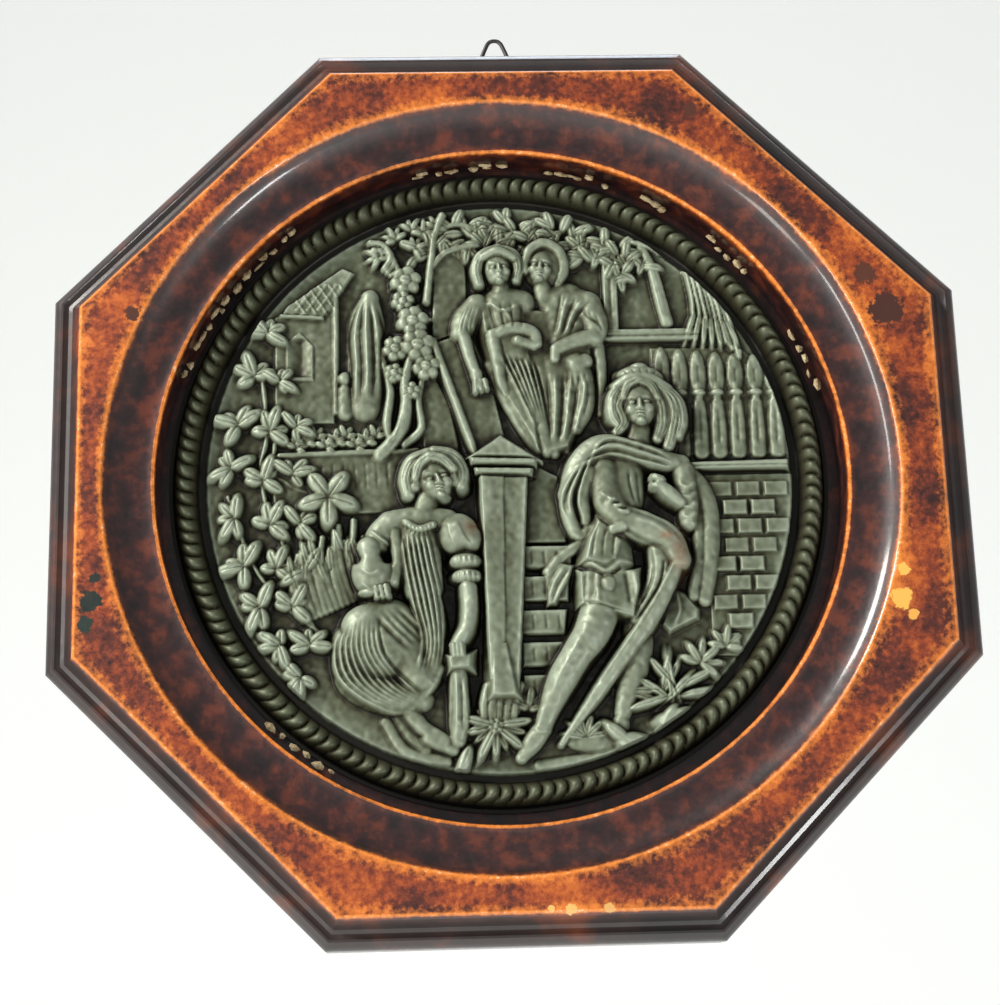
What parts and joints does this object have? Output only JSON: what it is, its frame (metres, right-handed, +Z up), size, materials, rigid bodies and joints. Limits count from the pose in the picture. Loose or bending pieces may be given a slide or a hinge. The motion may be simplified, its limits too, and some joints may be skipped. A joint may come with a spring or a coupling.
{
  "type": "relief plaque in an octagonal wood frame",
  "caption": "Round cast-metal relief of figures in a garden, set in a turned eight-sided lacquered wood wall frame with a wire hanging loop.",
  "frame": {"origin": "under the top of the wire loop, in the wire's plane, where the loop bears on a wall nail", "axes": "+Z up the wall, +Y into the wall, the front faces -Y, +X to the viewer's right"},
  "size_m": [0.2828, 0.025, 0.297],
  "materials": {
    "lacquered_wood": "glossy reddish-brown lacquer, rubbed to orange along the edges",
    "patinated_metal": "satin grey-green patina with olive and black in the hollows",
    "dark_steel": "dulled dark wire"
  },
  "bodies": {
    "root": {"frame": "lacquered_wood", "relief_plaque": "patinated_metal", "hanging_loop": "dark_steel"}
  },
  "joints": []
}
